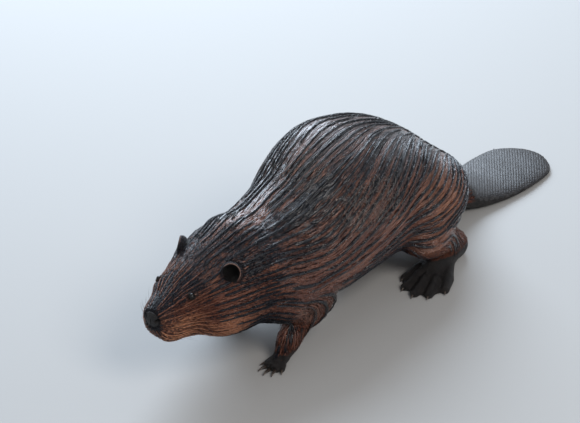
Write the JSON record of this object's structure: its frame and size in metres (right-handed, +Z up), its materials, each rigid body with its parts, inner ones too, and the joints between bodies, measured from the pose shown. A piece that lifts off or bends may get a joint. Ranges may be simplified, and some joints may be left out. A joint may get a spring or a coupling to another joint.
{
  "type": "beaver",
  "caption": "Life-size beaver, a still model with a wet coat, standing hunched on its feet with a lowered head and a scaly tail laid flat behind.",
  "frame": {"origin": "on the ground, under the middle of the animal's box", "axes": "+X towards the nose, +Y to the animal's left, +Z up"},
  "size_m": [1.0564, 0.3334, 0.3204],
  "materials": {
    "fur": "wet dark brown guard hair in long locks, rust brown between them, with a cool sheen",
    "leather": "bare blackish skin: nose, hands, webbed feet and scaly tail",
    "eye": "polished black",
    "claw": "dark horn, satin"
  },
  "bodies": {
    "root": {"head": "fur", "lower_jaw": "fur", "nose": "leather", "eye_l": "eye", "eye_r": "eye", "ear_l": "fur", "ear_r": "fur", "neck": "fur", "trunk": "fur", "rump": "fur", "tail_root": "fur", "tail": "leather", "foreleg_l": "fur", "foreleg_r": "fur", "forefoot_l": "leather", "forefoot_r": "leather", "hindleg_l": "fur", "hindleg_r": "fur", "hindfoot_l": "leather", "hindfoot_r": "leather"}
  },
  "joints": []
}
